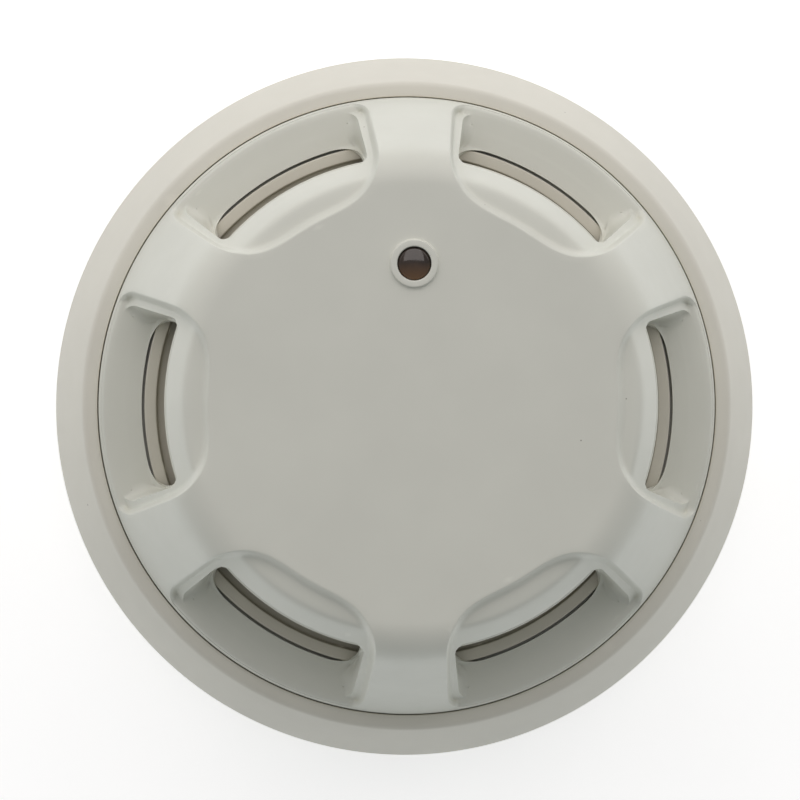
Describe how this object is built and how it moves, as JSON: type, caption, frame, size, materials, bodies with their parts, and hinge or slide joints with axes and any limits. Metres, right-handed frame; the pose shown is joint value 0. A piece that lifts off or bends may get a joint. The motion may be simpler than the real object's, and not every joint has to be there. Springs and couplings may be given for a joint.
{
  "type": "heat detector",
  "caption": "Round ceiling heat detector on its twist-lock base, with a windowed cap round the sensor, an indicator lens, screw terminals and sprung contacts.",
  "frame": {"origin": "centre of the base's ceiling face", "axes": "+Z away from the ceiling, out of the sensing face; +Y towards the indicator lens"},
  "size_m": [0.106, 0.106, 0.0435],
  "materials": {
    "base_ivory": "fine satin moulding",
    "cap_white": "fine satin moulding",
    "cover_beige": "matt moulding",
    "housing_grey": "matt moulding",
    "terminal_brass": "stamped",
    "spring_bronze": "rolled strip",
    "rivet_brass": "turned",
    "plated_steel": "zinc plated",
    "circuit_laminate": "solder mask",
    "smoked_lens": "polished, dark brown tint",
    "red_lens": "moulded epoxy",
    "bead_epoxy": "dipped epoxy",
    "grommet_rubber": "moulded",
    "capacitor_sleeve": "shrunk film",
    "component_black": "moulded epoxy",
    "label_film": "blank film"
  },
  "bodies": {
    "base": {"base_shell": "base_ivory", "terminal_plate_1": "terminal_brass", "terminal_plate_2": "terminal_brass", "terminal_plate_3": "terminal_brass", "terminal_plate_4": "terminal_brass", "spring_rivet_1": "rivet_brass", "spring_rivet_2": "rivet_brass", "spring_rivet_3": "rivet_brass", "spring_rivet_4": "rivet_brass"},
    "head": {"front_cap": "cap_white", "inner_cover": "cover_beige", "rear_housing": "housing_grey", "rating_label": "label_film", "circuit_board": "circuit_laminate", "light_guide": "smoked_lens", "indicator_led": "red_lens", "sensing_thermistor": "bead_epoxy", "thermistor_collar": "grommet_rubber", "reference_thermistor": "bead_epoxy", "reservoir_capacitor": "capacitor_sleeve", "controller_chip": "component_black", "bridge_rectifier": "component_black", "transient_suppressor": "component_black", "alarm_thyristor": "component_black", "contact_foot_1": "terminal_brass", "contact_foot_2": "terminal_brass", "contact_foot_3": "terminal_brass", "contact_foot_4": "terminal_brass", "contact_rivet_1": "plated_steel", "contact_rivet_2": "plated_steel", "contact_rivet_3": "plated_steel", "contact_rivet_4": "plated_steel", "cap_screw_1": "plated_steel", "cap_screw_2": "plated_steel", "cap_screw_3": "plated_steel", "board_screw_1": "plated_steel", "board_screw_2": "plated_steel", "board_screw_3": "plated_steel"},
    "clamp_1": {"wire_clamp_1": "plated_steel"},
    "screw_1": {"terminal_screw_1": "plated_steel"},
    "spring_1": {"contact_spring_1": "spring_bronze"},
    "clamp_2": {"wire_clamp_2": "plated_steel"},
    "screw_2": {"terminal_screw_2": "plated_steel"},
    "spring_2": {"contact_spring_2": "spring_bronze"},
    "clamp_3": {"wire_clamp_3": "plated_steel"},
    "screw_3": {"terminal_screw_3": "plated_steel"},
    "spring_3": {"contact_spring_3": "spring_bronze"},
    "clamp_4": {"wire_clamp_4": "plated_steel"},
    "screw_4": {"terminal_screw_4": "plated_steel"},
    "spring_4": {"contact_spring_4": "spring_bronze"}
  },
  "joints": [
    {"name": "head_twist", "type": "hinge", "parent": "base", "child": "head", "pos_m": [0, 0, 0], "axis": [0, 0, 1], "range_deg": [0, 18]},
    {"name": "clamp_lift_1", "type": "slide", "parent": "base", "child": "clamp_1", "axis": [0, 0, 1], "range_m": [0, 0.0024]},
    {"name": "screw_turn_1", "type": "hinge", "parent": "clamp_1", "child": "screw_1", "pos_m": [0.02334, 0.02334, 0.007], "axis": [0, 0, 1], "range_deg": [0, 1442]},
    {"name": "spring_flex_1", "type": "hinge", "parent": "base", "child": "spring_1", "pos_m": [0.017, 0.02829, 0.0053], "axis": [-0.454, -0.891, 0], "range_deg": [0, 4], "stiffness_Nm_per_rad": 0.33},
    {"name": "clamp_lift_2", "type": "slide", "parent": "base", "child": "clamp_2", "axis": [0, 0, 1], "range_m": [0, 0.0024]},
    {"name": "screw_turn_2", "type": "hinge", "parent": "clamp_2", "child": "screw_2", "pos_m": [-0.02334, 0.02334, 0.007], "axis": [0, 0, 1], "range_deg": [0, 1442]},
    {"name": "spring_flex_2", "type": "hinge", "parent": "base", "child": "spring_2", "pos_m": [-0.02829, 0.017, 0.0053], "axis": [0.891, -0.454, 0], "range_deg": [0, 4], "stiffness_Nm_per_rad": 0.33},
    {"name": "clamp_lift_3", "type": "slide", "parent": "base", "child": "clamp_3", "axis": [0, 0, 1], "range_m": [0, 0.0024]},
    {"name": "screw_turn_3", "type": "hinge", "parent": "clamp_3", "child": "screw_3", "pos_m": [-0.02334, -0.02334, 0.007], "axis": [0, 0, 1], "range_deg": [0, 1442]},
    {"name": "spring_flex_3", "type": "hinge", "parent": "base", "child": "spring_3", "pos_m": [-0.017, -0.02829, 0.0053], "axis": [0.454, 0.891, 0], "range_deg": [0, 4], "stiffness_Nm_per_rad": 0.33},
    {"name": "clamp_lift_4", "type": "slide", "parent": "base", "child": "clamp_4", "axis": [0, 0, 1], "range_m": [0, 0.0024]},
    {"name": "screw_turn_4", "type": "hinge", "parent": "clamp_4", "child": "screw_4", "pos_m": [0.02334, -0.02334, 0.007], "axis": [0, 0, 1], "range_deg": [0, 1442]},
    {"name": "spring_flex_4", "type": "hinge", "parent": "base", "child": "spring_4", "pos_m": [0.02829, -0.017, 0.0053], "axis": [-0.891, 0.454, 0], "range_deg": [0, 4], "stiffness_Nm_per_rad": 0.33}
  ],
  "couplings": [
    {"joint": "screw_turn_1", "follows": "clamp_lift_1", "rad_per_m": 10472},
    {"joint": "screw_turn_2", "follows": "clamp_lift_2", "rad_per_m": 10472},
    {"joint": "screw_turn_3", "follows": "clamp_lift_3", "rad_per_m": 10472},
    {"joint": "screw_turn_4", "follows": "clamp_lift_4", "rad_per_m": 10472}
  ]
}
